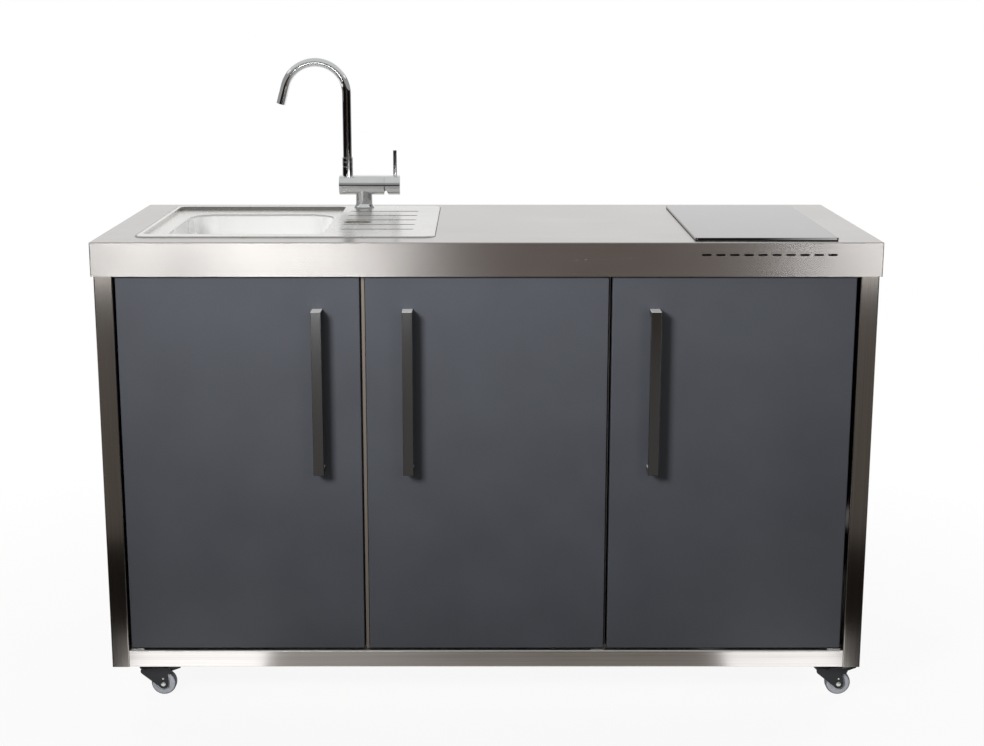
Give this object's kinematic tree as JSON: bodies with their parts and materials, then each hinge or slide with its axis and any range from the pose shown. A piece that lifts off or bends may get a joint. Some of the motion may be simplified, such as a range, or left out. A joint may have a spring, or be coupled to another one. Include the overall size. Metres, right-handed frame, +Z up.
{
  "type": "outdoor kitchen unit",
  "caption": "Free-standing outdoor kitchen unit on castors: stainless worktop with inset sink, swan-neck mixer tap and built-in hob over cabinets with hinged anthracite doors.",
  "frame": {"origin": "on the floor, under the middle of the whole unit, with the castor wheels standing on it", "axes": "+Z up, -Y out of the doors towards the person who uses it, +X to that person's right"},
  "size_m": [1.5, 0.627, 1.2552],
  "materials": {
    "worktop_steel": "brushed stainless steel, grain along the length",
    "frame_steel": "ground stainless steel tube",
    "sink_steel": "pressed stainless steel, satin",
    "chrome": "polished chrome",
    "brass": "machined brass",
    "white_plastic": "moulded white polypropylene",
    "ceramic": "moulded cartridge body",
    "black_glass": "polished black glass-ceramic, opaque",
    "black_rubber": "black rubber",
    "galvanised": "galvanised sheet steel",
    "anthracite": "anthracite powder coat, fine texture",
    "handle_steel": "dark brushed steel",
    "black_steel": "black painted steel",
    "zinc_steel": "zinc-plated steel",
    "grey_plastic": "moulded grey polypropylene",
    "grey_tyre": "grey thermoplastic rubber tread"
  },
  "bodies": {
    "unit": {"worktop": "worktop_steel", "sink": "sink_steel", "sink_waste": "sink_steel", "bottle_trap": "white_plastic", "tap_body": "chrome", "tap_shank_nut": "brass", "tap_cartridge": "ceramic", "hob_glass": "black_glass", "hob_seal": "black_rubber", "hob_casing": "galvanised", "service_grommet": "black_rubber", "post_front_left": "frame_steel", "post_front_right": "frame_steel", "post_rear_left": "frame_steel", "post_rear_right": "frame_steel", "bottom_rail_front": "frame_steel", "bottom_rail_rear": "frame_steel", "bottom_rails_side": "frame_steel", "top_rail_front": "frame_steel", "top_rail_rear": "frame_steel", "cross_rails": "frame_steel", "centre_mullion": "frame_steel", "floor_panel": "frame_steel", "partition": "frame_steel", "pivot_brackets": "frame_steel", "rear_panel": "anthracite", "side_panel_left": "anthracite", "side_panel_right": "anthracite", "castor_plates": "black_steel", "castor_bolts": "zinc_steel"},
    "door_left": {"door_left_skin": "anthracite", "door_left_liner": "anthracite", "door_left_handle": "handle_steel"},
    "door_middle": {"door_middle_skin": "anthracite", "door_middle_liner": "anthracite", "door_middle_handle": "handle_steel"},
    "door_right": {"door_right_skin": "anthracite", "door_right_liner": "anthracite", "door_right_handle": "handle_steel"},
    "spout": {"tap_spout": "chrome", "tap_collar": "chrome", "tap_aerator": "chrome"},
    "mixer": {"mixer_stem": "brass"},
    "lever": {"tap_handle_cap": "chrome", "tap_lever_pin": "chrome"},
    "strainer": {"strainer_basket": "sink_steel"},
    "castor_front_left": {"castor_fork_front_left": "black_steel"},
    "wheel_front_left": {"castor_hub_front_left": "grey_plastic", "castor_tyre_front_left": "grey_tyre"},
    "castor_front_right": {"castor_fork_front_right": "black_steel"},
    "wheel_front_right": {"castor_hub_front_right": "grey_plastic", "castor_tyre_front_right": "grey_tyre"},
    "castor_rear_left": {"castor_fork_rear_left": "black_steel"},
    "wheel_rear_left": {"castor_hub_rear_left": "grey_plastic", "castor_tyre_rear_left": "grey_tyre"},
    "castor_rear_right": {"castor_fork_rear_right": "black_steel"},
    "wheel_rear_right": {"castor_hub_rear_right": "grey_plastic", "castor_tyre_rear_right": "grey_tyre"},
    "brake_front_left": {"brake_pedal_front_left": "black_steel"},
    "brake_front_right": {"brake_pedal_front_right": "black_steel"}
  },
  "joints": [
    {"name": "door_left_hinge", "type": "hinge", "parent": "unit", "child": "door_left", "pos_m": [-0.694, -0.2675, 0.48875], "axis": [0, 0, -1], "range_deg": [0, 110]},
    {"name": "door_middle_hinge", "type": "hinge", "parent": "unit", "child": "door_middle", "pos_m": [0.22117, -0.2675, 0.48875], "axis": [0, 0, 1], "range_deg": [0, 110]},
    {"name": "door_right_hinge", "type": "hinge", "parent": "unit", "child": "door_right", "pos_m": [0.6925, -0.2675, 0.48875], "axis": [0, 0, 1], "range_deg": [0, 110]},
    {"name": "spout_swivel", "type": "hinge", "parent": "unit", "child": "spout", "pos_m": [-0.3005, 0.2415, 1.0215], "axis": [0, 0, 1], "continuous": true},
    {"name": "mixer_turn", "type": "hinge", "parent": "unit", "child": "mixer", "pos_m": [-0.221, 0.2415, 0.982], "axis": [1, 0, 0], "range_deg": [-50, 50]},
    {"name": "lever_tilt", "type": "hinge", "parent": "mixer", "child": "lever", "pos_m": [-0.214, 0.2415, 0.982], "axis": [0, 1, 0], "range_deg": [0, 20]},
    {"name": "strainer_lift", "type": "slide", "parent": "unit", "child": "strainer", "axis": [0, 0, 1], "range_m": [0, 0.12]},
    {"name": "castor_front_left_swivel", "type": "hinge", "parent": "unit", "child": "castor_front_left", "pos_m": [-0.6825, -0.2325, 0.0661], "axis": [0, 0, 1], "continuous": true},
    {"name": "wheel_front_left_spin", "type": "hinge", "parent": "castor_front_left", "child": "wheel_front_left", "pos_m": [-0.6525, -0.2325, 0.025], "axis": [0, 1, 0], "continuous": true},
    {"name": "castor_front_right_swivel", "type": "hinge", "parent": "unit", "child": "castor_front_right", "pos_m": [0.6825, -0.2325, 0.0661], "axis": [0, 0, 1], "continuous": true},
    {"name": "wheel_front_right_spin", "type": "hinge", "parent": "castor_front_right", "child": "wheel_front_right", "pos_m": [0.7125, -0.2325, 0.025], "axis": [0, 1, 0], "continuous": true},
    {"name": "castor_rear_left_swivel", "type": "hinge", "parent": "unit", "child": "castor_rear_left", "pos_m": [-0.6825, 0.2595, 0.0661], "axis": [0, 0, 1], "continuous": true},
    {"name": "wheel_rear_left_spin", "type": "hinge", "parent": "castor_rear_left", "child": "wheel_rear_left", "pos_m": [-0.6525, 0.2595, 0.025], "axis": [0, 1, 0], "continuous": true},
    {"name": "castor_rear_right_swivel", "type": "hinge", "parent": "unit", "child": "castor_rear_right", "pos_m": [0.6825, 0.2595, 0.0661], "axis": [0, 0, 1], "continuous": true},
    {"name": "wheel_rear_right_spin", "type": "hinge", "parent": "castor_rear_right", "child": "wheel_rear_right", "pos_m": [0.7125, 0.2595, 0.025], "axis": [0, 1, 0], "continuous": true},
    {"name": "brake_front_left_press", "type": "hinge", "parent": "castor_front_left", "child": "brake_front_left", "pos_m": [-0.6405, -0.2325, 0.0525], "axis": [0, 1, 0], "range_deg": [0, 15]},
    {"name": "brake_front_right_press", "type": "hinge", "parent": "castor_front_right", "child": "brake_front_right", "pos_m": [0.7245, -0.2325, 0.0525], "axis": [0, 1, 0], "range_deg": [0, 15]}
  ]
}
